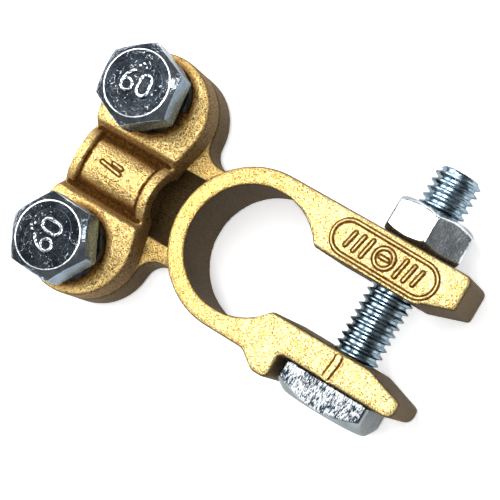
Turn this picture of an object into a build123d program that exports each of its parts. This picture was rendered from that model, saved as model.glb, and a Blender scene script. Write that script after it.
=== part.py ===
"""Battery terminal clamp for the negative post: a split brass ring with jaws and a screwed cable clamp.

Millimetres. +Z runs up the post bore, with z = 0 on the bottom face and the origin on the bore axis.
+X points to the jaw tips, +Y to the nut of the clamp bolt, and the cable leaves towards -X.
"""
import os
from math import radians, sqrt, tan

from build123d import *

# ---- Post ring ----
post_bore_top_diameter = 15.8
post_taper = 1 / 9  # growth of the bore's diameter for each millimetre downwards
ring_outer_diameter = 20.4
casting_height = 12.7

# ---- Jaws ----
jaw_reach = 24.9  # bore axis to jaw tips
clamp_bolt_setback = 8.7  # jaw tips to the clamp bolt's axis
nut_jaw_inner_y = 4.3
head_jaw_inner_y = 4.6
head_jaw_thickness = 3.85
lead_in_length = 5.0
lead_in_depth = 1.6
nut_jaw_corner_radius = 0.9
head_jaw_corner_radius = 1.2
slot_corner_radius = 0.35

# ---- Shoulder that keeps the clamp bolt's head from turning ----
shoulder_height = 3.4
shoulder_width = 2.2
shoulder_ramp_length = 2.3
shoulder_radius = 0.9
head_side_clearance = 0.7

# ---- Threads, hex and square heads (metric 6) ----
thread_diameter = 5.9
thread_clearance = 0.05
shank_hole_clearance = 0.3
hex_across_flats = 9.8
head_chamfer_angle = 30
hex_flat_ratio = 0.87  # diameter of the flat on a hex head's top, as a share of its width
square_flat_ratio = 0.95
nut_countersink = 0.5
seat_gap = 0.05  # between faces that press on each other but belong to different moving pieces

# ---- Clamp bolt and nut ----
clamp_bolt_length = 29.0
square_head_width = 11.4
square_head_height = 3.55
nut_height = 4.9
nut_turn_angle = 15.0

# ---- Cable clamp ----
cable_clamp_x = -21.2
lobe_radius = 7.3
lobe_offset_y = 9.25
waist_half_width = 5.9
base_thickness = 5.2
cable_bolt_x = -21.75
cable_bolt_offset_y = 10.6
neck_half_width = 7.1
neck_blend_radius = 2.6
base_groove_radius = 4.8
base_groove_rise = 0.6  # height of the groove's centre above the seam

# ---- Cable cap ----
cap_thickness = 4.1
arch_inner_radius = 2.9
arch_wall = 1.5
wing_start_y = 4.9  # where the flat wings begin, beside the valleys
valley_depth = 1.2
valley_ramp = 1.0  # width of the slope from a wing down to its valley
valley_radius = 0.35
wing_edge_radius = 0.6
lip_rise = 0.4
lip_length = 1.3

# ---- Cable bolts and spring washers ----
cable_bolt_length = 12.0
hex_head_height = 4.0
cable_bolt_angles = {"a": 36.0, "b": -2.0}
washer_outer_diameter = 9.9
washer_inner_diameter = 6.4
washer_thickness = 1.6
washer_rise = 1.1  # how far the split ends stand apart while the washer is slack
washer_split_angle = 14.0
washer_seat_gap = 0.03

# ---- Edge rounding of the castings and the bolts ----
casting_bevel = 0.35
bolt_tip_chamfer = 0.7

# ---- Worked out from the sizes above ----
ring_outer_radius = ring_outer_diameter / 2
clamp_bolt_x = jaw_reach - clamp_bolt_setback
thread_radius = thread_diameter / 2
tapped_radius = thread_radius + thread_clearance
shank_hole_radius = thread_radius + shank_hole_clearance
pocket_y = -(head_jaw_inner_y + head_jaw_thickness)
shoulder_x = clamp_bolt_x - square_head_width / 2 - head_side_clearance
clamp_bolt_z = casting_height / 2
seam_z = base_thickness + seat_gap
cap_top_z = seam_z + cap_thickness
arch_radius = arch_inner_radius + arch_wall
valley_z = cap_thickness - valley_depth
chamfer_slope = tan(radians(head_chamfer_angle))
cable_head_z = cap_top_z + washer_thickness + washer_rise + 2 * washer_seat_gap
over = 1.0  # how far a cutting tool runs past the stock
root_depth = 0.1  # how far the base reaches into the ring's wall, where the two are one casting


def polygon(*points):
    """A flat face inside straight edges."""
    return make_face(Polyline(*points, close=True))


def rounded(sketch, x, y, radius):
    """Round the corner of a sketch that lies nearest to x, y."""
    corner = sketch.vertices().sort_by_distance((x, y, 0))[0]
    return fillet(corner, radius)


def edges_at(solid, level):
    """The edges at the lowest level of a solid, 0, or at its highest, -1."""
    return solid.edges().group_by(Axis.Z)[level]


def across(radius, length, x, z):
    """A cylinder along Y, centred on y = 0."""
    return Pos(x, 0, z) * Rot(X=90) * Cylinder(radius, length)


def along(radius, length, x, z):
    """A cylinder along X, centred on x."""
    return Pos(x, 0, z) * Rot(Y=90) * Cylinder(radius, length)


# ---- Outlines ----
def lobed_outline():
    """Two round lobes, one round each cable bolt, joined by a shallow waist that is tangent to both."""
    waist_radius = lobe_offset_y**2 + waist_half_width**2 - lobe_radius**2
    waist_radius /= 2 * (lobe_radius - waist_half_width)
    share = lobe_radius / (lobe_radius + waist_radius)
    touch_x = (waist_radius + waist_half_width) * share
    touch_y = lobe_offset_y * (1 - share)
    end_y = lobe_offset_y + lobe_radius
    edges = [
        ThreePointArc((touch_x, touch_y), (0, end_y), (-touch_x, touch_y)),
        ThreePointArc((-touch_x, touch_y), (-waist_half_width, 0), (-touch_x, -touch_y)),
        ThreePointArc((-touch_x, -touch_y), (0, -end_y), (touch_x, -touch_y)),
        ThreePointArc((touch_x, -touch_y), (waist_half_width, 0), (touch_x, touch_y)),
    ]
    return make_face(edges)


def nut_jaw_outline():
    """The thick jaw, flush with the ring's side, with a lead-in at its tip."""
    tip_y = nut_jaw_inner_y + lead_in_depth
    outline = polygon(
        (0, nut_jaw_inner_y),
        (jaw_reach - lead_in_length, nut_jaw_inner_y),
        (jaw_reach, tip_y),
        (jaw_reach, ring_outer_radius),
        (0, ring_outer_radius),
    )
    outline = rounded(outline, jaw_reach, ring_outer_radius, nut_jaw_corner_radius)
    return rounded(outline, jaw_reach, tip_y, slot_corner_radius)


def head_jaw_outline():
    """The thin jaw with the pocket and the shoulder for the bolt's square head."""
    tip_y = -(head_jaw_inner_y + lead_in_depth)
    shoulder_y = pocket_y - shoulder_height
    shoulder_start_x = shoulder_x - shoulder_width
    outline = polygon(
        (0, -head_jaw_inner_y),
        (jaw_reach - lead_in_length, -head_jaw_inner_y),
        (jaw_reach, tip_y),
        (jaw_reach, pocket_y),
        (shoulder_x, pocket_y),
        (shoulder_x, shoulder_y),
        (shoulder_start_x, shoulder_y),
        (shoulder_start_x - shoulder_ramp_length, -ring_outer_radius),
        (0, -ring_outer_radius),
    )
    outline = rounded(outline, jaw_reach, pocket_y, head_jaw_corner_radius)
    outline = rounded(outline, jaw_reach, tip_y, head_jaw_corner_radius / 2)
    outline = rounded(outline, shoulder_x, pocket_y, slot_corner_radius)
    outline = rounded(outline, shoulder_x, shoulder_y, shoulder_radius)
    outline = rounded(outline, shoulder_start_x, shoulder_y, shoulder_radius)
    ramp_x = shoulder_start_x - shoulder_ramp_length
    return rounded(outline, ramp_x, -ring_outer_radius, shoulder_radius)


# ---- Brass castings ----
def ring_and_jaws():
    outline = Circle(ring_outer_radius) + nut_jaw_outline() + head_jaw_outline()
    slot = polygon(
        (0, nut_jaw_inner_y),
        (0, -head_jaw_inner_y),
        (ring_outer_diameter, -head_jaw_inner_y),
        (ring_outer_diameter, nut_jaw_inner_y),
    )
    casting = extrude(outline - slot, casting_height)
    return chamfer(edges_at(casting, 0) + edges_at(casting, -1), casting_bevel)


def cable_base():
    """The plate under the cable cap and the neck that joins it to the ring."""
    neck = Pos(cable_clamp_x / 2, 0) * Rectangle(-cable_clamp_x, 2 * neck_half_width)
    inside_ring = Circle(ring_outer_radius - root_depth)
    outline = Pos(cable_clamp_x, 0) * lobed_outline() + neck + inside_ring
    outline = offset(offset(outline, neck_blend_radius), -neck_blend_radius)
    outline -= Pos(ring_outer_radius, 0) * Rectangle(2 * ring_outer_radius, 3 * ring_outer_radius)
    base = extrude(outline, base_thickness)
    return chamfer(edges_at(base, 0) + edges_at(base, -1), casting_bevel)


def post_bore():
    """The taper bore, run past both faces so that the cut is clean."""
    top_radius = post_bore_top_diameter / 2
    growth = post_taper / 2
    low_radius = top_radius + (casting_height + over) * growth
    high_radius = top_radius - over * growth
    return Pos(0, 0, casting_height / 2) * Cone(low_radius, high_radius, casting_height + 2 * over)


def base_groove():
    """The half-round cable bed, from the base's far end to the ring's wall."""
    z = base_thickness + base_groove_rise
    bed = along(base_groove_radius, -2 * cable_clamp_x, cable_clamp_x, z)
    return bed - extrude(Circle(ring_outer_radius), casting_height)


def make_clamp_body():
    body = cable_base() + ring_and_jaws()
    body -= base_groove()
    body -= post_bore()
    body -= across(shank_hole_radius, 4 * ring_outer_radius, clamp_bolt_x, clamp_bolt_z)
    for side in (1, -1):
        body -= Pos(cable_bolt_x, side * cable_bolt_offset_y) * Cylinder(tapped_radius, 3 * base_thickness)
    return body


def cap_column(inset=0.0):
    """An upright prism on the cap's outline, from the seam to well above the arch."""
    outline = offset(lobed_outline(), -inset) if inset else lobed_outline()
    return extrude(outline, 2 * arch_radius)


def cap_section():
    """The cap's cross-section: two flat wings, a round arch and the valleys between them."""
    half_width = 2 * (lobe_offset_y + lobe_radius)
    valley_y = wing_start_y - valley_ramp
    section = Circle(arch_radius)
    for side in (1, -1):
        section += polygon(
            (0, 0),
            (side * half_width, 0),
            (side * half_width, cap_thickness),
            (side * wing_start_y, cap_thickness),
            (side * valley_y, valley_z),
            (0, valley_z),
        )
    for side in (1, -1):
        section = rounded(section, side * wing_start_y, cap_thickness, wing_edge_radius)
        section = rounded(section, side * valley_y, valley_z, valley_radius)
        section = rounded(section, side * sqrt(arch_radius**2 - valley_z**2), valley_z, valley_radius)
    below = Pos(0, -arch_radius) * Rectangle(2 * half_width, 2 * arch_radius)
    return section - below - Circle(arch_inner_radius)


def cap_rim(cap):
    """The edges round the top of the cap's upright sides."""
    sides = [
        face
        for face in cap.faces().filter_by(GeomType.CYLINDER)
        if face.bounding_box().min.Z < valley_z / 2 and abs(face.normal_at(face.center()).Z) < 0.01
    ]
    edges = ShapeList([edge for face in sides for edge in face.edges()])
    return edges.filter_by(lambda edge: edge.bounding_box().min.Z > valley_z / 2)


def make_cable_cap():
    """The saddle over the cable: lobes round the bolts, an arch between them and a lip at each end of it."""
    length = 4 * lobe_radius
    across_cable = Plane(origin=(-length / 2, 0, 0), x_dir=(0, 1, 0), z_dir=(1, 0, 0))
    cap = extrude(across_cable * cap_section(), length) & cap_column()
    cap = chamfer(cap_rim(cap), casting_bevel)
    lips = (cap_column() - cap_column(lip_length)) & along(arch_radius + lip_rise, length, 0, 0)
    cap += lips - along(arch_inner_radius, length, 0, 0)
    for side in (1, -1):
        bolt_place = Pos(cable_bolt_x - cable_clamp_x, side * cable_bolt_offset_y)
        cap -= bolt_place * Cylinder(shank_hole_radius, 3 * cap_thickness)
    return Pos(cable_clamp_x, 0, seam_z) * cap


# ---- Fasteners, each made upright with its seat face on z = 0 and its head above ----
def chamfered_prism(outline, height, flat_radius, both_ends=False):
    """A prism whose corners are turned off by a cone at the top, and at the bottom if both_ends."""
    reach = flat_radius + height / chamfer_slope
    cone = Cone(reach, flat_radius, height, align=(Align.CENTER, Align.CENTER, Align.MIN))
    prism = extrude(outline, height) & cone
    if both_ends:
        prism &= Cone(flat_radius, reach, height, align=(Align.CENTER, Align.CENTER, Align.MIN))
    return prism


def shank(length):
    """A screw shank below z = 0 with a chamfered tip."""
    solid = Pos(0, 0, -length / 2) * Cylinder(thread_radius, length)
    return chamfer(edges_at(solid, 0), bolt_tip_chamfer)


def hexagon():
    return RegularPolygon(hex_across_flats / 2, 6, major_radius=False)


def make_cable_bolt(turn):
    flat_radius = hex_across_flats / 2 * hex_flat_ratio
    head = chamfered_prism(hexagon(), hex_head_height, flat_radius)
    return Rot(Z=turn) * (head + shank(cable_bolt_length))


def make_clamp_bolt():
    flat_radius = square_head_width / 2 * square_flat_ratio
    square = Rectangle(square_head_width, square_head_width)
    return chamfered_prism(square, square_head_height, flat_radius) + shank(clamp_bolt_length)


def make_clamp_nut():
    flat_radius = hex_across_flats / 2 * hex_flat_ratio
    nut = chamfered_prism(hexagon(), nut_height, flat_radius, both_ends=True)
    nut -= Cylinder(tapped_radius, 3 * nut_height)
    bore_rims = nut.edges().filter_by(GeomType.CIRCLE).filter_by(lambda edge: edge.radius < thread_diameter)
    return Rot(Z=nut_turn_angle) * chamfer(bore_rims.sort_by(SortBy.RADIUS)[:2], nut_countersink)


def make_spring_washer():
    """One helical turn of flat-sided wire, with its split ends standing apart."""
    mean_radius = (washer_outer_diameter + washer_inner_diameter) / 4
    width = (washer_outer_diameter - washer_inner_diameter) / 2
    turns = 1 - washer_split_angle / 360
    path = Helix(pitch=washer_rise / turns, height=washer_rise, radius=mean_radius)
    start = Plane(origin=path @ 0, x_dir=(1, 0, 0), z_dir=path % 0)
    coil = sweep(start * Rectangle(width, washer_thickness), path, is_frenet=True)
    return Pos(0, 0, washer_thickness / 2) * coil


# ---- Assembly ----
def place_all():
    """Every piece at its place in the part's own frame, by node name."""
    bolt_axis = (clamp_bolt_x, 0, clamp_bolt_z)
    head_seat = Plane(origin=(clamp_bolt_x, pocket_y - seat_gap, clamp_bolt_z), z_dir=(0, -1, 0))
    nut_seat = Plane(origin=(clamp_bolt_x, ring_outer_radius + seat_gap, clamp_bolt_z), z_dir=(0, 1, 0))
    pieces = {
        "clamp_body": make_clamp_body(),
        "cable_cap": make_cable_cap(),
        "clamp_bolt": head_seat * make_clamp_bolt(),
        "clamp_nut": nut_seat * make_clamp_nut(),
    }
    for name, side in (("a", 1), ("b", -1)):
        y = side * cable_bolt_offset_y
        washer_z = cap_top_z + washer_seat_gap
        pieces["spring_washer_" + name] = Pos(cable_bolt_x, y, washer_z) * make_spring_washer()
        bolt = make_cable_bolt(cable_bolt_angles[name])
        pieces["cable_bolt_" + name] = Pos(cable_bolt_x, y, cable_head_z) * bolt
    return pieces


os.makedirs("parts", exist_ok=True)
for node, piece in place_all().items():
    export_step(piece, f"parts/{node}.step")
    print(f"{node}: {piece.volume:.1f} cubic millimetres")
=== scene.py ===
"""Looks for the battery terminal clamp: cast brass, zinc-plated fasteners, floor, light and camera."""
import math

import bpy
import numpy as np
from mathutils import Matrix, Vector


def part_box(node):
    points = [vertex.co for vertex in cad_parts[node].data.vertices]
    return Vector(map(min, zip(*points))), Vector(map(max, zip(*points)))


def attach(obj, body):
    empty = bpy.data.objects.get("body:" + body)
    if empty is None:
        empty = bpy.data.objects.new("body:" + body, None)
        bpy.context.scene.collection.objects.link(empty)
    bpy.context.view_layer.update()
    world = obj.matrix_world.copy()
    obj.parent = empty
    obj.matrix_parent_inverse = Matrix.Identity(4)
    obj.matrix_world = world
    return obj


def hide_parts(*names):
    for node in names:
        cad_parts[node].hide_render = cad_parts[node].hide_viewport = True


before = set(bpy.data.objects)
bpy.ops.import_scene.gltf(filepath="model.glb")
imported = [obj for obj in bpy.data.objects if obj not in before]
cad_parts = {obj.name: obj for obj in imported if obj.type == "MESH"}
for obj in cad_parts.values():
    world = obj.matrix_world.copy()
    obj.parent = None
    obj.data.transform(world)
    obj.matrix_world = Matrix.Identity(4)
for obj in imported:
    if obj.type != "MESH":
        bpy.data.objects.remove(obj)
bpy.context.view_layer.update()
MM = 0.001

# ---- Camera, fitted to the photograph, in millimetres and radians ----
CAMERA_ROTATION = (-3.07086, -0.83614, 0.50324)
CAMERA_SHIFT = (3.21584, 2.03066, 188.29767)
FOCAL_PIXELS = 1497.0
PICTURE_PIXELS = 500
SENSOR_WIDTH = 36.0

# ---- Castings, in millimetres ----
BED_HIGH = 4.6  # the cable bed lies below this, painted in shade
FACES_LOW = 5.0  # the polished upper faces lie above this, painted gold over the bed's painted shade
SADDLE_RADIUS = 4.4  # outside of the saddle's arch, whose axis lies in the seam
RELIEF_STEP = 0.06
RELIEF_DEPTH = 0.05  # how far the rim of a relief's skin dips under the surface

# ---- Threads, in millimetres ----
PITCH = 1.0
THREAD_RADIUS = 2.95
ROOT_RADIUS = 2.37
TIP_RADIUS = 2.2
TIP_SLOPE = 1.1  # growth of the radius along the chamfer of the tip
THREAD_LEAN = 0.45  # how far the threads' shading leans toward a plain cylinder's
CREST_Y = 3.41  # a point on the clamp bolt's crest, by its Y and its angle in the XZ plane
CREST_ANGLE = math.radians(166.07)
SHARP_EDGE = math.radians(30)
SHANK_COLUMNS = 96

# ---- Heads and nut, in millimetres ----
HEAD_CHAMFER = math.tan(math.radians(30))
HEX_WIDTH = 9.8
HEX_HEIGHT = 4.0
HEX_FLAT_SHARE = 0.87  # radius of the flat end over half of the width across flats
SQUARE_WIDTH = 11.4
SQUARE_HEIGHT = 3.55
SQUARE_FLAT_SHARE = 0.95
NUT_HOLE_RADIUS = 3.0
HOLE_CHAMFER = 0.5
AXIS_GAP = 0.01  # radius of the tiny ring that stands for the point on a head's axis
HEAD_COLUMNS = 192
PROFILE_STEPS = 5


# ---- Small helpers ----
def add_object(name, verts, faces, material, body):
    """A smooth-shaded mesh piece from points in millimetres, riding on a body."""
    mesh = bpy.data.meshes.new(name)
    mesh.from_pydata([tuple(v) for v in np.asarray(verts) * MM], [], faces)
    mesh.validate()
    mesh.polygons.foreach_set("use_smooth", [True] * len(mesh.polygons))
    piece = bpy.data.objects.new(name, mesh)
    bpy.context.scene.collection.objects.link(piece)
    mesh.materials.append(material)
    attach(piece, body)
    return piece


def grid_faces(rows, columns):
    """Quads over a grid of points that closes on itself along its columns."""
    faces = []
    for i in range(rows - 1):
        a, b = i * columns, (i + 1) * columns
        for j in range(columns):
            k = (j + 1) % columns
            faces.append((a + j, a + k, b + k, b + j))
    return faces


def centre_of(node):
    """A node's centre and its box's low and high corners, in millimetres."""
    low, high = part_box(node)
    return (Vector(low) + Vector(high)) / 2 / MM, Vector(low) / MM, Vector(high) / MM


def corner_angle(node, to_local):
    """Angle of a head's farthest corner about its own axis, in the head's local frame."""
    points = [to_local @ (v.co / MM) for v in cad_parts[node].data.vertices]
    far = max(points, key=lambda p: p.x * p.x + p.y * p.y)
    return math.atan2(far.y, far.x)


# ---- Node materials ----
class Nodes:
    """Short ways to build a node tree."""

    def __init__(self, name):
        self.material = bpy.data.materials.new(name)
        self.material.use_nodes = True
        self.tree = self.material.node_tree
        self.tree.nodes.clear()
        self.output = self.tree.nodes.new("ShaderNodeOutputMaterial")

    def add(self, kind, **settings):
        node = self.tree.nodes.new(kind)
        for key, value in settings.items():
            setattr(node, key, value)
        return node

    def link(self, source, target):
        self.tree.links.new(source, target)

    def place(self):
        """Where the shaded point lies in its piece, in metres."""
        return self.add("ShaderNodeTexCoord").outputs["Object"]

    def axis(self, vector, letter):
        node = self.add("ShaderNodeSeparateXYZ")
        self.link(vector, node.inputs[0])
        return node.outputs[letter]

    def noise(self, vector, scale, detail=3.0, roughness=0.6):
        node = self.add("ShaderNodeTexNoise")
        node.inputs["Scale"].default_value = scale
        node.inputs["Detail"].default_value = detail
        node.inputs["Roughness"].default_value = roughness
        self.link(vector, node.inputs["Vector"])
        return node.outputs["Fac"]

    def span(self, value, low, high, to_low=0.0, to_high=1.0):
        """A smooth step of a value from one span to another."""
        node = self.add("ShaderNodeMapRange", interpolation_type="SMOOTHSTEP")
        for key, number in (
                ("From Min", low), ("From Max", high), ("To Min", to_low), ("To Max", to_high)):
            node.inputs[key].default_value = number
        self.link(value, node.inputs["Value"])
        return node.outputs["Result"]

    def math(self, operation, first, second):
        node = self.add("ShaderNodeMath", operation=operation)
        for socket, value in zip(node.inputs, (first, second)):
            if isinstance(value, (int, float)):
                socket.default_value = value
            else:
                self.link(value, socket)
        return node.outputs[0]

    def mix(self, factor, first, second):
        node = self.add("ShaderNodeMix", data_type="RGBA")
        self.link(factor, node.inputs["Factor"])
        for socket, value in ((node.inputs["A"], first), (node.inputs["B"], second)):
            if isinstance(value, tuple):
                socket.default_value = (*value, 1.0)
            else:
                self.link(value, socket)
        return node.outputs["Result"]

    def bump(self, height, strength, distance, normal=None):
        node = self.add("ShaderNodeBump")
        node.inputs["Strength"].default_value = strength
        node.inputs["Distance"].default_value = distance
        self.link(height, node.inputs["Height"])
        if normal is not None:
            self.link(normal, node.inputs["Normal"])
        return node.outputs["Normal"]

    def attribute(self, name):
        return self.add("ShaderNodeAttribute", attribute_name=name).outputs["Fac"]

    def metal(self, colour, roughness, normal=None, metallic=1.0, rim=1.0):
        """The finished material. rim dims the glare that metal shows at grazing angles."""
        shader = self.add("ShaderNodeBsdfPrincipled")
        shader.inputs["Specular IOR Level"].default_value = 0.15
        shader.inputs["Specular Tint"].default_value = (rim, rim, rim, 1)
        if isinstance(metallic, float):
            shader.inputs["Metallic"].default_value = metallic
        else:
            self.link(metallic, shader.inputs["Metallic"])
        self.link(colour, shader.inputs["Base Color"])
        self.link(roughness, shader.inputs["Roughness"])
        if normal is not None:
            self.link(normal, shader.inputs["Normal"])
        self.link(shader.outputs["BSDF"], self.output.inputs["Surface"])
        return self.material


def polish_and_shade_mask(nodes, place, steep, level):
    """1 on the upper faces that tumbling has polished, which are painted gold, and 0 on upright sides and low
    in the cable bed, which are painted in shade.

    The normal's Z runs from steep, where a wall ends, to level, where a face is fully polished.
    """
    normal = nodes.add("ShaderNodeNewGeometry").outputs["Normal"]
    facing = nodes.span(nodes.math("ABSOLUTE", nodes.axis(normal, "Z"), 0.0), steep, level)
    raised = nodes.span(nodes.axis(place, "Z"), BED_HIGH * MM, FACES_LOW * MM)
    return nodes.math("MULTIPLY", facing, raised)


OCHRE = (0.78, 0.47, 0.12)
PIT = (0.20, 0.105, 0.025)
RUBBED_BRASS = (1.0, 0.78, 0.38)
# Colours of the darkening in hollows, partly patina and partly painted shade.
WARM_TARNISH_AND_SHADE = (0.26, 0.11, 0.02)
DARK_TARNISH_AND_SHADE = (0.05, 0.021, 0.005)


def brass_material(name, gold, shaded_walls, pitted, steep, level):
    """Sand-cast, tumbled brass: golden grain on the faces; dark brown on upright sides, mostly painted shade
    with some patina; creases darker, partly patina and partly painted shade.

    gold and shaded_walls are each a dark and a light colour, shaded_walls being the painted shade of upright
    sides, and pitted is how strongly dark pits show.
    """
    n = Nodes(name)
    place = n.place()
    coarse = n.noise(place, 260.0)
    grain = n.noise(place, 3500.0, 2.0, 0.65)
    fine = n.noise(place, 5000.0, 1.0, 0.5)

    face_colour = n.mix(n.span(fine, 0.42, 0.56), *gold)
    face_colour = n.mix(n.span(coarse, 0.30, 0.70, 0.0, 0.35), face_colour, gold[1])
    # Painted shade: toward the cable end, -X, the faces are painted darker and ochre, as if less lit than the
    # jaws.
    cable_end_shade = n.span(n.axis(place, "X"), -8 * MM, 11 * MM, 0.60, 0.0)
    face_colour = n.mix(cable_end_shade, face_colour, OCHRE)
    face_colour = n.mix(n.span(grain, 0.33, 0.46, pitted, 0.0), face_colour, PIT)
    # face is 1 on the polished upper faces; elsewhere the colour is the painted shade of shaded_walls.
    face = polish_and_shade_mask(n, place, steep, level)
    colour = n.mix(face, n.mix(n.span(fine, 0.28, 0.70), *shaded_walls), face_colour)

    # Darker in hollows, partly patina and partly painted shade; on the saddle also painted shade on valley
    # flanks and a painted shadow round the washers.
    crease = n.attribute("crease")
    colour = n.mix(n.math("MULTIPLY", n.attribute("worn"), 0.5), colour, RUBBED_BRASS)
    darkening = n.math("MULTIPLY", crease, n.span(grain, 0.35, 0.60, 1.0, 0.78))
    colour = n.mix(n.span(darkening, 0.0, 0.7), colour, WARM_TARNISH_AND_SHADE)
    colour = n.mix(n.span(darkening, 0.4, 1.0), colour, DARK_TARNISH_AND_SHADE)

    polish = n.math("MULTIPLY", face, n.span(crease, 0.0, 1.0, 1.0, 0.1))
    rough = n.span(fine, 0.3, 0.7, 0.62, 0.78)
    rough = n.math("ADD", rough, n.math("MULTIPLY", polish, -0.36))
    normal = n.bump(grain, 0.7, 0.12 * MM)
    normal = n.bump(fine, 1.0, 0.16 * MM, normal)
    return n.metal(colour, rough, normal, n.span(face, 0.0, 1.0, 0.3, 1.0))


SCRATCH = (0.62, 0.68, 0.74)
RUBBED_ZINC = (0.85, 0.92, 0.98)
# Painted shade at the foot of raised marks, and a painted highlight on rims.
ZINC_PAINTED_SHADE = (0.02, 0.025, 0.035)
PAINTED_RIM_HIGHLIGHT = (0.95, 0.97, 1.0)


def zinc_material(name, light, dark, roughness, spread=0.10, scratched=0.0, metallic=1.0, rim=1.0, waves=0.3):
    """Zinc plate on steel: bluish, with faint cloudy patches, bright where worn, with a painted highlight on
    rims and painted shade at the foot of raised marks.

    scratched is how strongly scratches and specks show, and waves how uneven the surface is.
    """
    n = Nodes(name)
    place = n.place()
    cloud = n.noise(place, 420.0, 4.0)
    speck = n.noise(place, 3600.0, 3.0, 0.7)
    colour = n.mix(n.span(cloud, 0.35, 0.65), dark, light)
    if scratched:
        bright = n.span(n.noise(place, 3000.0, 1.0), 0.70, 0.75, 0.0, scratched)
        broken = n.span(n.noise(place, 900.0, 2.0), 0.50, 0.58)
        for scale, offset in ((700.0, 0.47), (430.0, 0.55)):
            line = n.math("ABSOLUTE", n.math("SUBTRACT", n.noise(place, scale, 2.0, 0.4), offset), 0.0)
            line = n.math("MULTIPLY", n.span(line, 0.0, 0.008, scratched, 0.0), broken)
            bright = n.math("MAXIMUM", bright, line)
        colour = n.mix(bright, colour, SCRATCH)
    flecks = n.span(n.noise(place, 4200.0, 2.0, 0.6), 0.40, 0.56)
    colour = n.mix(n.math("MULTIPLY", n.attribute("worn"), flecks), colour, RUBBED_ZINC)
    # Painted shade: a dark line at the foot of raised marks.
    colour = n.mix(n.attribute("crease"), colour, ZINC_PAINTED_SHADE)
    # Painted highlight: a bright thin line where the edge attribute is painted, on the heads' rims.
    edge = n.attribute("edge")
    colour = n.mix(n.math("MULTIPLY", edge, 0.75), colour, PAINTED_RIM_HIGHLIGHT)
    rough = n.span(speck, 0.3, 0.7, roughness, roughness + spread)
    rough = n.math("ADD", rough, n.math("MULTIPLY", edge, 0.25))
    normal = n.bump(cloud, waves, 0.25 * MM)
    normal = n.bump(speck, 0.25, 0.06 * MM, normal)
    return n.metal(colour, rough, normal, metallic, rim)


def sheared_material():
    """The cut face of the square head: torn metal, white on blue-black, in short strokes along the cut."""
    n = Nodes("zinc_sheared_look")
    place = n.place()
    stretch = n.add("ShaderNodeVectorMath", operation="MULTIPLY")
    stretch.inputs[1].default_value = (1.0, 0.25, 1.0)
    n.link(place, stretch.inputs[0])
    torn = n.noise(stretch.outputs[0], 9000.0, 2.0, 0.7)
    patch = n.noise(place, 500.0, 2.0)
    level = n.math("ADD", torn, n.span(patch, 0.3, 0.7, -0.10, 0.04))
    colour = n.mix(n.span(level, 0.43, 0.50), (0.025, 0.045, 0.065), (0.90, 0.95, 1.0))
    normal = n.bump(torn, 1.0, 0.2 * MM)
    return n.metal(colour, n.span(torn, 0.3, 0.7, 0.25, 0.45), normal)


def thread_material():
    """Rolled threads, polished and bluish."""
    n = Nodes("zinc_thread_look")
    cloud = n.span(n.noise(n.place(), 900.0), 0.35, 0.65)
    colour = n.mix(cloud, (0.145, 0.21, 0.26), (0.31, 0.40, 0.47))
    return n.metal(colour, n.span(cloud, 0.0, 1.0, 0.23, 0.30), rim=0.5)


# shaded_walls is painted shade on upright sides, with some patina; the saddle's is painted lighter, as its
# rim catches more light.
brass = brass_material(
    "cast_brass_look", gold=((0.66, 0.37, 0.08), (1.0, 0.89, 0.44)),
    shaded_walls=((0.062, 0.037, 0.014), (0.175, 0.115, 0.047)), pitted=0.5, steep=0.58, level=0.94)
brass_cap = brass_material(
    "cast_brass_cap_look", gold=((0.52, 0.26, 0.05), (1.0, 0.98, 0.57)),
    shaded_walls=((0.08, 0.042, 0.012), (0.34, 0.21, 0.075)), pitted=0.9, steep=0.60, level=0.95)
zinc = zinc_material(
    "zinc_look", (0.74, 0.79, 0.82), (0.50, 0.545, 0.58), 0.14,
    spread=0.14, scratched=0.35, rim=0.35, waves=0.5)
# The heads' tops are the same plate as their sides, painted near black: a painted dark reflection of the
# room.
zinc_top_dark_reflection = zinc_material(
    "zinc_top_dark_reflection_look", (0.05, 0.06, 0.072), (0.016, 0.021, 0.027), 0.17, spread=0.12, scratched=0.9, waves=0.2)
zinc_bevel = zinc_material(
    "zinc_bevel_look", (0.50, 0.56, 0.62), (0.26, 0.31, 0.37), 0.10, rim=0.5, waves=0.8)
zinc_side = zinc_material(
    "zinc_side_look", (0.27, 0.345, 0.405), (0.19, 0.25, 0.305), 0.2, metallic=0.75, rim=0.5)
zinc_square = zinc_material(
    "zinc_square_look", (0.27, 0.30, 0.31), (0.20, 0.235, 0.25), 0.2, rim=0.5, waves=0.2)
# The washers are painted much darker than the bolts' zinc: partly their own dark plate, partly painted shade
# under the heads.
zinc_washer = zinc_material("zinc_washer_look", (0.16, 0.17, 0.185), (0.07, 0.075, 0.085), 0.28, rim=0.2)
zinc_sheared = sheared_material()
zinc_thread = thread_material()


# ---- Castings ----
def smooth(x):
    """A smooth step from 0 to 1."""
    x = np.clip(x, 0, 1)
    return x * x * (3 - 2 * x)


def read_vectors(items, key):
    """A vector property of all of a mesh's points or corners, as rows."""
    values = np.empty(len(items) * 3)
    items.foreach_get(key, values)
    return values.reshape(-1, 3)


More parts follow.
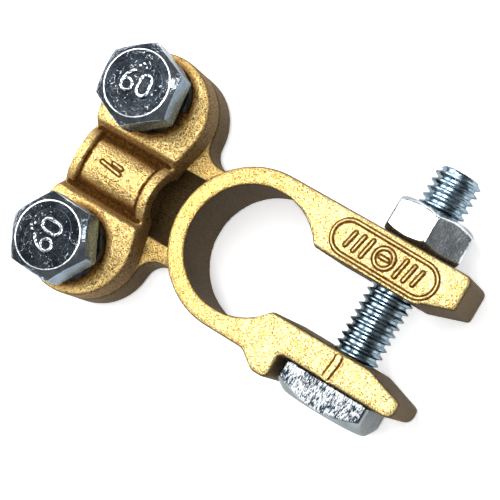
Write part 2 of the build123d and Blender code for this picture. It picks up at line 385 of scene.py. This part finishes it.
def remeshed(node, voxel, rounds):
    """The CAD node's shape as an even, soft-edged mesh of small faces, in millimetres.

    Returns its points, normals, faces and edges.
    """
    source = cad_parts[node].data
    mesh = bpy.data.meshes.new("rough")
    faces = [tuple(p.vertices) for p in source.polygons]
    mesh.from_pydata([tuple(v) for v in read_vectors(source.vertices, "co") / MM], [], faces)
    rough = bpy.data.objects.new("rough", mesh)
    bpy.context.scene.collection.objects.link(rough)
    step = rough.modifiers.new("remesh", "REMESH")
    step.mode = "VOXEL"
    step.voxel_size = voxel
    soft = rough.modifiers.new("soften", "SMOOTH")
    soft.factor = 0.5
    soft.iterations = rounds
    depsgraph = bpy.context.evaluated_depsgraph_get()
    result = bpy.data.meshes.new_from_object(rough.evaluated_get(depsgraph))
    bpy.data.objects.remove(rough)
    points = read_vectors(result.vertices, "co")
    normals = read_vectors(result.vertices, "normal")
    faces = [tuple(p.vertices) for p in result.polygons]
    edges = np.empty(len(result.edges) * 2, int)
    result.edges.foreach_get("vertices", edges)
    return points, normals, faces, edges.reshape(-1, 2)


def hollowness(points, normals, edges, rounds):
    """How far each point lies below its neighbourhood: above 0 in creases, below 0 on outer edges.

    More rounds look at a wider neighbourhood.
    """
    first, second = np.concatenate([edges, edges[:, ::-1]]).T
    count = np.bincount(first, minlength=len(points))
    average = points
    for _ in range(rounds):
        sums = [np.bincount(first, average[second, axis], len(points)) / count for axis in range(3)]
        average = np.stack(sums, -1)
    return ((average - points) * normals).sum(1)


def paint_points(piece, **layers):
    """Store a number at each point of a piece under each keyword, for the materials to read."""
    for key, values in layers.items():
        layer = piece.data.attributes.new(key, "FLOAT", "POINT")
        layer.data.foreach_set("value", values.ravel().astype(np.float32))


def casting(name, node, body, material, voxel, rounds, washers=()):
    """A casting over its CAD node, with its hollows painted darker, partly patina and partly painted shade.

    The saddle, which has washers on it, also gets painted shade with some patina on the flanks of its
    valleys, and a painted shadow round the washers.
    """
    points, normals, faces, edges = remeshed(node, voxel, rounds)
    piece = add_object(name, points, faces, material, body)
    rise = normals[:, 2]
    upward = smooth(rise / 0.4)
    # Darker in hollows, partly patina and partly painted shade.
    broad = smooth((hollowness(points, normals, edges, rounds=24) - 0.03) / 0.08)
    narrow = smooth((hollowness(points, normals, edges, rounds=6) - 0.008) / 0.018)
    above_bed = smooth((points[:, 2] - BED_HIGH) / (FACES_LOW - BED_HIGH))
    dark = np.maximum(broad, narrow) * upward * above_bed
    if washers:
        # Painted shade on the flanks of the saddle's valleys, with some patina.
        valley = smooth((hollowness(points, normals, edges, rounds=150) + 0.20) / 0.45)
        dark = np.maximum(dark, 0.95 * valley * smooth((0.99 - rise) / 0.2) * upward)
    for washer in washers:
        low, high = np.array(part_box(washer)) / MM
        middle, radius = (low + high)[:2] / 2, (high[0] - low[0]) / 2
        away = np.hypot(*(points[:, :2] - middle).T) - radius
        # Painted shadow in a ring round each washer.
        dark = np.maximum(dark, 0.65 * smooth(1 - away / 1.2) * smooth(rise * 2 - 1))
    paint_points(piece, crease=dark)
    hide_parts(node)


# ---- Raised marks ----
def distance_to_lines(u, v, lines):
    """Distance from each point to the nearest of some polylines."""
    best = np.full(u.shape, 1e9)
    for line in lines:
        for (ax, ay), (bx, by) in zip(line, line[1:]):
            dx, dy = bx - ax, by - ay
            t = np.clip(((u - ax) * dx + (v - ay) * dy) / max(dx * dx + dy * dy, 1e-12), 0, 1)
            best = np.minimum(best, np.hypot(u - ax - t * dx, v - ay - t * dy))
    return best


def relief(name, lines, half_width, height, spine, reach, place, material, body, lift=0.06, groove=0.05):
    """A thin skin over a surface with raised strokes, whose rim dips under that surface.

    The skin covers all that lies within reach of the spine, a line. place turns arrays of u, v and
    height into points in millimetres. lift is the skin's height over the surface, and groove the depth
    of the dip along the foot of the strokes, which also gets a dark line of painted shade.
    """
    (u0, v0), (u1, v1) = np.min(spine, 0) - reach, np.max(spine, 0) + reach
    u, v = np.meshgrid(np.arange(u0, u1, RELIEF_STEP), np.arange(v0, v1, RELIEF_STEP), indexing="ij")
    away = distance_to_lines(u, v, lines) - half_width
    raised = smooth((0.08 - away) / 0.14)
    rim = reach - distance_to_lines(u, v, [spine])
    dip = smooth(rim / 0.3)
    # Painted shade: a dark line along the foot of the strokes.
    crease = 0.8 * smooth((0.19 - np.abs(away - 0.12)) / 0.10) * dip
    level = (lift + RELIEF_DEPTH) * dip - RELIEF_DEPTH
    points = place(u, v, raised * height + level - groove * crease).reshape(-1, 3)
    inside = rim > -RELIEF_STEP
    number = (np.cumsum(inside.ravel()).reshape(inside.shape) - 1).tolist()
    whole = inside[:-1, :-1] & inside[1:, :-1] & inside[1:, 1:] & inside[:-1, 1:]
    faces = []
    for i, j in zip(*np.nonzero(whole)):
        faces.append((number[i][j], number[i + 1][j], number[i + 1][j + 1], number[i][j + 1]))
    keep = inside.ravel()
    piece = add_object(name, points[keep], faces, material, body)
    paint_points(piece, crease=crease.ravel()[keep], worn=raised.ravel()[keep])
    return piece


def arc(cx, cy, radius, start, end, steps=16):
    """Points along an arc, counted with both its ends."""
    return [(cx + radius * math.cos(a), cy + radius * math.sin(a)) for a in np.linspace(start, end, steps)]


def pill(x0, x1, y, radius):
    """A rounded outline with straight long sides, closed."""
    half = math.pi / 2
    line = arc(x1, y, radius, -half, half) + arc(x0, y, radius, half, 3 * half)
    return line + [line[0]]


def jaw_frame():
    """A plain rounded frame on the nut jaw, with a minus sign and plain bars inside it."""
    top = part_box("clamp_body")[1][2] / MM
    middle, angle = (14.75, 7.1), math.radians(-1.2)
    half = 4.85
    lines = [pill(-half, half, 0.0, 2.1)]
    lines += [arc(0, 0, 1.2, 0, 2 * math.pi, 28), [(-0.5, 0), (0.5, 0)]]
    for side in (-1, 1):
        for k in range(3):
            x = side * (2.3 + 1.15 * k)
            tall = 1.15 - 0.12 * k
            lines.append([(x - 0.2, -tall), (x + 0.2, tall)])
    c, s = math.cos(angle), math.sin(angle)

    def place(u, v, h):
        return np.stack([middle[0] + u * c - v * s, middle[1] + u * s + v * c, top + h], -1)

    spine = [(-half, 0.0), (half, 0.0)]
    piece = relief("jaw_frame", lines, 0.12, 0.14, spine, 2.62, place, brass, "clamp")


def jaw_rib():
    """The mould's mark on the head jaw: a shallow raised band across it."""
    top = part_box("clamp_body")[1][2] / MM
    line = [(15.75, -8.6), (15.95, -7.2), (16.1, -6.0), (16.05, -5.2)]

    def place(u, v, h):
        return np.stack([u, v, top + h], -1)

    spine = [(16.0, -7.25), (16.0, -5.85)]
    piece = relief("jaw_rib", [line], 0.34, 0.10, spine, 1.1, place, brass, "clamp")


def saddle_mark():
    """A long and a short plain bar on top of the saddle's arch."""
    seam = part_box("cable_cap")[0][2] / MM
    lines = [[(-23.4, 0.35), (-20.5, -0.05)], [(-21.9, 0.85), (-20.6, 0.67)]]

    def place(u, v, h):
        angle, radius = v / SADDLE_RADIUS, SADDLE_RADIUS + h
        return np.stack([u, radius * np.sin(angle), seam + radius * np.cos(angle)], -1)

    spine = [(-23.0, 0.0), (-21.0, 0.0)]
    piece = relief("saddle_mark", lines, 0.14, 0.16, spine, 1.3, place, brass_cap, "cable_cap")


# Strokes of digits 1 wide and 1.7 high.
DIGITS = {
    "6": [arc(0.5, 0.5, 0.45, 0, 2 * math.pi, 20), arc(1.35, 0.55, 1.3, math.pi, math.radians(118), 8)],
    "0": [arc(0.5, 0.5, 0.45, math.pi, 2 * math.pi, 12) + arc(0.5, 1.2, 0.45, 0, math.pi, 12)
          + [(0.05, 0.5)]],
}
DIGIT_PITCH = 1.35
DIGIT_HEIGHT = 1.7


def digit_lines(text, size):
    """Strokes of a row of digits, centred on the origin."""
    width = (len(text) - 1) * DIGIT_PITCH + 1.0
    lines = []
    for i, digit in enumerate(text):
        shift = i * DIGIT_PITCH - width / 2
        for stroke in DIGITS[digit]:
            lines.append([((x + shift) * size, (y - DIGIT_HEIGHT / 2) * size) for x, y in stroke])
    return lines


# ---- Fasteners ----
def rounded_polygon_radius(angle, sides, inradius, rounding):
    """Distance from the centre to a rounded polygon's side, with a corner at angle 0."""
    half = math.pi / sides
    from_corner = (angle + half) % (2 * half) - half
    from_flat = half - abs(from_corner)
    if inradius * math.tan(from_flat) <= (inradius - rounding) * math.tan(half):
        return inradius / math.cos(from_flat)
    reach = (inradius - rounding) / math.cos(half)
    across = reach * math.sin(from_corner)
    return reach * math.cos(from_corner) + math.sqrt(max(rounding**2 - across**2, 0.0))


def soft_profile(corners, radius):
    """A polyline through the corners, each rounded with a quadratic curve."""
    corners = [np.array(c, float) for c in corners]
    line = [corners[0]]
    for before, corner, after in zip(corners, corners[1:], corners[2:]):
        to_before, to_after = before - corner, after - corner
        cut = min(radius, 0.45 * np.linalg.norm(to_before), 0.45 * np.linalg.norm(to_after))
        start = corner + to_before / max(np.linalg.norm(to_before), 1e-9) * cut
        end = corner + to_after / max(np.linalg.norm(to_after), 1e-9) * cut
        for t in np.linspace(0, 1, PROFILE_STEPS):
            line.append((1 - t) ** 2 * start + 2 * t * (1 - t) * corner + t * t * end)
    line.append(corners[-1])
    return line


def head_mesh(sides, width, height, flat_share, rounding, edge=0.12, hole=0.0):
    """A chamfered prismatic head on z = 0, as points and faces, with a corner at angle 0.

    With a hole it is a nut, which is chamfered at both ends. rounding is the radius of its upright
    corners, and edge that of its rims.
    """
    inradius, flat = width / 2, width / 2 * flat_share
    angles = [2 * math.pi * j / HEAD_COLUMNS for j in range(HEAD_COLUMNS)]
    profiles = []
    for angle in angles:
        reach = rounded_polygon_radius(angle, sides, inradius, rounding)
        drop = (reach - flat) * HEAD_CHAMFER
        outside = [(flat, height), (reach, height - drop)]
        if hole:
            rim, middle = hole + HOLE_CHAMFER, (hole, height / 2)
            corners = [middle, (hole, height - HOLE_CHAMFER), (rim, height)] + outside
            corners += [(reach, drop), (flat, 0.0), (rim, 0.0), (hole, HOLE_CHAMFER), middle]
        else:
            corners = [(AXIS_GAP, height), (flat - 0.35, height)] + outside
            corners += [(reach, 0.0), (AXIS_GAP, 0.0)]
        profiles.append(soft_profile(corners, edge))
    count = len(profiles[0])
    points = []
    for i in range(count):
        for angle, profile in zip(angles, profiles):
            radius, z = profile[i]
            points.append((radius * math.cos(angle), radius * math.sin(angle), z))
    faces = [tuple(reversed(f)) for f in grid_faces(count, HEAD_COLUMNS)]
    if not hole:
        faces.append(tuple(range(HEAD_COLUMNS)))
        faces.append(tuple(reversed(range((count - 1) * HEAD_COLUMNS, count * HEAD_COLUMNS))))
    return np.array(points), faces


# Share of a pitch past the crest, and share of the thread's depth there.
THREAD_PROFILE = (
    (-0.07, 0.0), (0.0, 0.0), (0.07, 0.0), (0.21, 0.5), (0.35, 1.0), (0.5, 1.0), (0.65, 1.0), (0.79, 0.5),
)


def thread_mesh(length, phase):
    """A right-hand threaded shank from z = 0 down to z = -length, with a chamfered tip.

    Its rows run along the helix, so that crests, flanks and roots meet at sharp lines. phase, in
    turns, sets where the helix starts.
    """
    columns = SHANK_COLUMNS
    turns = np.arange(-2, int(length / PITCH) + 3) + phase % 1.0
    share, depth = np.array(THREAD_PROFILE).T
    drop = (turns[:, None] + share).ravel()
    radius = THREAD_RADIUS - (THREAD_RADIUS - ROOT_RADIUS) * np.tile(depth, len(turns))
    angle = np.linspace(0, 2 * math.pi, columns, endpoint=False)
    z = np.clip((angle / (2 * math.pi) + 2 * (phase % 1.0) - drop[:, None]) * PITCH, -length, 0.0)
    radius = np.minimum(radius[:, None], TIP_RADIUS + (z + length) * TIP_SLOPE)
    points = np.stack([radius * np.cos(angle), radius * np.sin(angle), z], -1).reshape(-1, 3)
    step = len(THREAD_PROFILE)
    faces = []
    for i in range(step, len(drop) - 1):
        for j in range(columns):
            right = (i * columns + j + 1) if j < columns - 1 else (i - step) * columns
            face = (i * columns + j, (i + 1) * columns + j, right + columns, right)
            if np.ptp(points[list(face), 2]) > 1e-6:
                faces.append(face)
    first = len(points)
    tip = np.stack([TIP_RADIUS * np.cos(angle), TIP_RADIUS * np.sin(angle), np.full(columns, -length)], -1)
    faces.append(tuple(reversed(range(first, first + columns))))
    return np.vstack([points, tip]), faces


def turned(points, angle):
    """Points turned about their Z axis."""
    c, s = math.cos(angle), math.sin(angle)
    return points @ np.array([[c, s, 0], [-s, c, 0], [0, 0, 1]])


def placed(points, rotation, origin):
    """Points taken from a local frame to their place."""
    return points @ np.array(rotation.transposed()) + np.array(origin)


def unit(vectors):
    """Rows scaled to length 1."""
    return vectors / np.linalg.norm(vectors, axis=1, keepdims=True)


def add_shank(name, points, faces, rotation, seat, body):
    """A threaded shank. Its shading leans toward a plain cylinder's, as soft rolled threads look."""
    shank = add_object(name, placed(points, rotation, seat), faces, zinc_thread, body)
    mesh = shank.data
    mesh.set_sharp_from_angle(angle=SHARP_EDGE)
    own = read_vectors(mesh.corner_normals, "vector")
    corner = np.empty(len(mesh.loops), int)
    mesh.loops.foreach_get("vertex_index", corner)
    outward = unit(points[corner] * (1.0, 1.0, 0.0)) @ np.array(rotation.transposed())
    on_tip = np.abs(own @ np.array(rotation.col[2])) >= 0.95
    share = np.where(on_tip, 0.0, THREAD_LEAN)[:, None]
    blend = unit(own * (1 - share) + outward * share)
    mesh.normals_split_custom_set([tuple(v) for v in blend])


TO_MINUS_Y = Matrix(((1, 0, 0), (0, 0, -1), (0, 1, 0)))  # local +Z points to -Y
TO_PLUS_Y = Matrix(((1, 0, 0), (0, 0, 1), (0, -1, 0)))  # local +Z points to +Y
UPRIGHT = Matrix.Identity(3)


def paint_by_face(piece, materials, choose):
    """Give each face the material whose number choose returns for its centre and normal, in millimetres."""
    for material in materials:
        piece.data.materials.append(material)
    for polygon in piece.data.polygons:
        polygon.material_index = choose(polygon.center / MM, polygon.normal)


def cable_bolt(name, node, body, mark_turn):
    """A hex bolt through the saddle, with the plain number 60 and three dots on its head."""
    centre, low, high = centre_of(node)
    seat = Vector((centre.x, centre.y, high.z - HEX_HEIGHT))
    angle = corner_angle(node, Matrix.Translation(-seat))
    points, faces = head_mesh(6, HEX_WIDTH, HEX_HEIGHT, HEX_FLAT_SHARE, rounding=0.25)
    points = placed(turned(points, angle), UPRIGHT, seat)
    head = add_object(name, points, faces, zinc_side, body)
    flat = HEX_WIDTH / 2 * HEX_FLAT_SHARE

    def side_top_or_bevel(c, n):
        if n.z < 0.4:
            return 0
        return 1 if (c - seat).xy.length < flat - 0.1 else 2

    # One zinc plate painted in three brightnesses by where each face points: a near-black top, a painted dark
    # reflection, and lighter, lit copies for the bevel and sides.
    paint_by_face(head, [zinc_top_dark_reflection, zinc_bevel], side_top_or_bevel)
    # Painted highlight: a thin bright ring round the rim of the head's flat top.
    ring = np.hypot(points[:, 0] - seat.x, points[:, 1] - seat.y) - flat + 0.02
    paint_points(head, edge=np.exp(-((ring / 0.06) ** 2)) * (points[:, 2] > high.z - 0.2))
    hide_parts(node)
    turn = angle + mark_turn

    def place(u, v, h):
        c, s = math.cos(turn), math.sin(turn)
        return np.stack([seat.x + u * c - v * s, seat.y + u * s + v * c, high.z + h], -1)

    dots = [[dot, dot] for dot in ((-0.4, 2.1), (0.4, 2.1), (0.0, 2.5))]
    lines = digit_lines("60", 1.65) + dots
    spine = [(-0.6, 0.0), (0.6, 0.0)]
    marks = relief(
        name + "_marks", lines, 0.20, 0.14, spine, 3.0, place, zinc_top_dark_reflection, body, lift=0.01, groove=0.0)
    points, faces = thread_mesh(seat.z - low.z, 0.0)
    add_shank(name + "_shank", points, faces, UPRIGHT, seat, body)


def clamp_bolt():
    """The square-head bolt across the jaws, with a sheared face on top of its head."""
    centre, low, high = centre_of("clamp_bolt")
    seat = Vector((centre.x, low.y + SQUARE_HEIGHT, centre.z))
    to_local = TO_MINUS_Y.transposed().to_4x4() @ Matrix.Translation(-seat)
    points, faces = head_mesh(4, SQUARE_WIDTH, SQUARE_HEIGHT, SQUARE_FLAT_SHARE, rounding=0.8, edge=0.3)
    points = placed(turned(points, math.pi / 4), TO_MINUS_Y, seat)
    head = add_object("clamp_bolt_head", points, faces, zinc_square, "clamp_bolt")
    paint_by_face(head, [zinc_sheared], lambda c, n: int(n.z > 0.9))
    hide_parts("clamp_bolt")
    crest = to_local @ Vector(
        (centre.x + math.cos(CREST_ANGLE), CREST_Y, centre.z + math.sin(CREST_ANGLE)))
    phase = crest.z / PITCH - math.atan2(crest.y, crest.x) / (2 * math.pi)
    points, faces = thread_mesh(high.y - seat.y, phase)
    add_shank("clamp_bolt_shank", points, faces, TO_MINUS_Y, seat, "clamp_bolt")


def clamp_nut():
    """The hex nut on the nut jaw."""
    centre, low, high = centre_of("clamp_nut")
    seat = Vector((centre.x, low.y, centre.z))
    to_local = TO_PLUS_Y.transposed().to_4x4() @ Matrix.Translation(-seat)
    angle = corner_angle("clamp_nut", to_local)
    points, faces = head_mesh(
        6, HEX_WIDTH, high.y - low.y, HEX_FLAT_SHARE, rounding=0.4, edge=0.25, hole=NUT_HOLE_RADIUS)
    points = placed(turned(points, angle), TO_PLUS_Y, seat)
    nut = add_object("clamp_nut_look", points, faces, zinc, "clamp_nut")
    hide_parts("clamp_nut")


# ---- Floor, light and camera ----
def white_floor():
    """White paper that keeps the shadow, with a glow of its own for the eye and for mirrors only."""
    mesh = bpy.data.meshes.new("floor")
    side = 4.0
    corners = [(-side, -side, 0), (side, -side, 0), (side, side, 0), (-side, side, 0)]
    mesh.from_pydata(corners, [], [(0, 1, 2, 3)])
    floor = bpy.data.objects.new("floor", mesh)
    bpy.context.scene.collection.objects.link(floor)
    floor.location.z = -0.2 * MM
    n = Nodes("floor_look")
    paper = n.add("ShaderNodeBsdfDiffuse")
    paper.inputs["Color"].default_value = (0.9, 0.9, 0.9, 1)
    glow = n.add("ShaderNodeEmission")
    glow.inputs["Color"].default_value = (1, 1, 1, 1)
    path = n.add("ShaderNodeLightPath")
    seen = n.math("MAXIMUM", path.outputs["Is Camera Ray"], path.outputs["Is Glossy Ray"])
    seen = n.math("MAXIMUM", seen, path.outputs["Is Transmission Ray"])
    n.link(n.math("MULTIPLY", seen, 0.5), glow.inputs["Strength"])
    both = n.add("ShaderNodeAddShader")
    n.link(paper.outputs[0], both.inputs[0])
    n.link(glow.outputs[0], both.inputs[1])
    n.link(both.outputs[0], n.output.inputs["Surface"])
    floor.data.materials.append(n.material)


def dim_room():
    """A grey room that is brighter toward +X."""
    world = bpy.data.worlds.new("studio")
    bpy.context.scene.world = world
    world.use_nodes = True
    tree = world.node_tree
    backdrop = tree.nodes["Background"]
    toward = tree.nodes.new("ShaderNodeTexCoord")
    parts = tree.nodes.new("ShaderNodeSeparateXYZ")
    tree.links.new(toward.outputs["Generated"], parts.inputs[0])
    shade = tree.nodes.new("ShaderNodeMapRange")
    for key, number in (("From Min", -1.0), ("From Max", 0.5), ("To Min", 0.07), ("To Max", 0.185)):
        shade.inputs[key].default_value = number
    tree.links.new(parts.outputs["X"], shade.inputs["Value"])
    tree.links.new(shade.outputs["Result"], backdrop.inputs["Color"])
    backdrop.inputs["Strength"].default_value = 1.0


def area_light(name, place, size, power):
    """A rectangular lamp that faces the origin, in metres and watts."""
    data = bpy.data.lights.new(name, "AREA")
    data.shape = "RECTANGLE"
    data.size, data.size_y = size
    data.energy = power
    lamp = bpy.data.objects.new(name, data)
    lamp.location = place
    lamp.rotation_euler = (-Vector(place)).to_track_quat("-Z", "Y").to_euler()
    bpy.context.scene.collection.objects.link(lamp)


def camera():
    """The fitted camera, whose view has Y down and Z ahead, as a Blender one with Y up and Z behind."""
    turn = Matrix.Rotation(Vector(CAMERA_ROTATION).length, 3, Vector(CAMERA_ROTATION))
    shift = Vector(CAMERA_SHIFT)
    data = bpy.data.cameras.new("camera")
    data.sensor_width = SENSOR_WIDTH
    data.lens = FOCAL_PIXELS / PICTURE_PIXELS * SENSOR_WIDTH
    data.clip_start = 0.01
    data.clip_end = 20.0
    eye = bpy.data.objects.new("camera", data)
    view = turn.transposed() @ Matrix(((1, 0, 0), (0, -1, 0), (0, 0, -1)))
    eye.matrix_world = Matrix.Translation(-(turn.transposed() @ shift) * MM) @ view.to_4x4()
    bpy.context.scene.collection.objects.link(eye)
    bpy.context.scene.camera = eye


# ---- The whole scene ----
WASHERS = ("spring_washer_a", "spring_washer_b")
casting("clamp_casting", "clamp_body", "clamp", brass, voxel=0.24, rounds=4)
casting("cap_casting", "cable_cap", "cable_cap", brass_cap, voxel=0.2, rounds=5, washers=WASHERS)
cable_bolt("cable_bolt_a_look", "cable_bolt_a", "cable_bolt_a", math.radians(90))
cable_bolt("cable_bolt_b_look", "cable_bolt_b", "cable_bolt_b", math.radians(-90))
jaw_frame()
jaw_rib()
saddle_mark()
clamp_bolt()
clamp_nut()
for washer in WASHERS:
    for material_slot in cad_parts[washer].material_slots:
        material_slot.material = zinc_washer
white_floor()
dim_room()
area_light("key", (-0.52, 0.0, 0.47), (0.6, 0.32), 3.95)
area_light("top", (-0.065, 0.05, 0.72), (0.10, 0.6), 4.3)
area_light("low_front", (-0.25, -0.80, 0.14), (0.5, 0.2), 1.3)
area_light("low_back", (-0.25, 0.80, 0.14), (0.5, 0.2), 1.3)
area_light("side", (0.30, 0.36, 0.56), (0.16, 0.16), 0.42)
camera()
bpy.context.scene.view_settings.view_transform = "Standard"
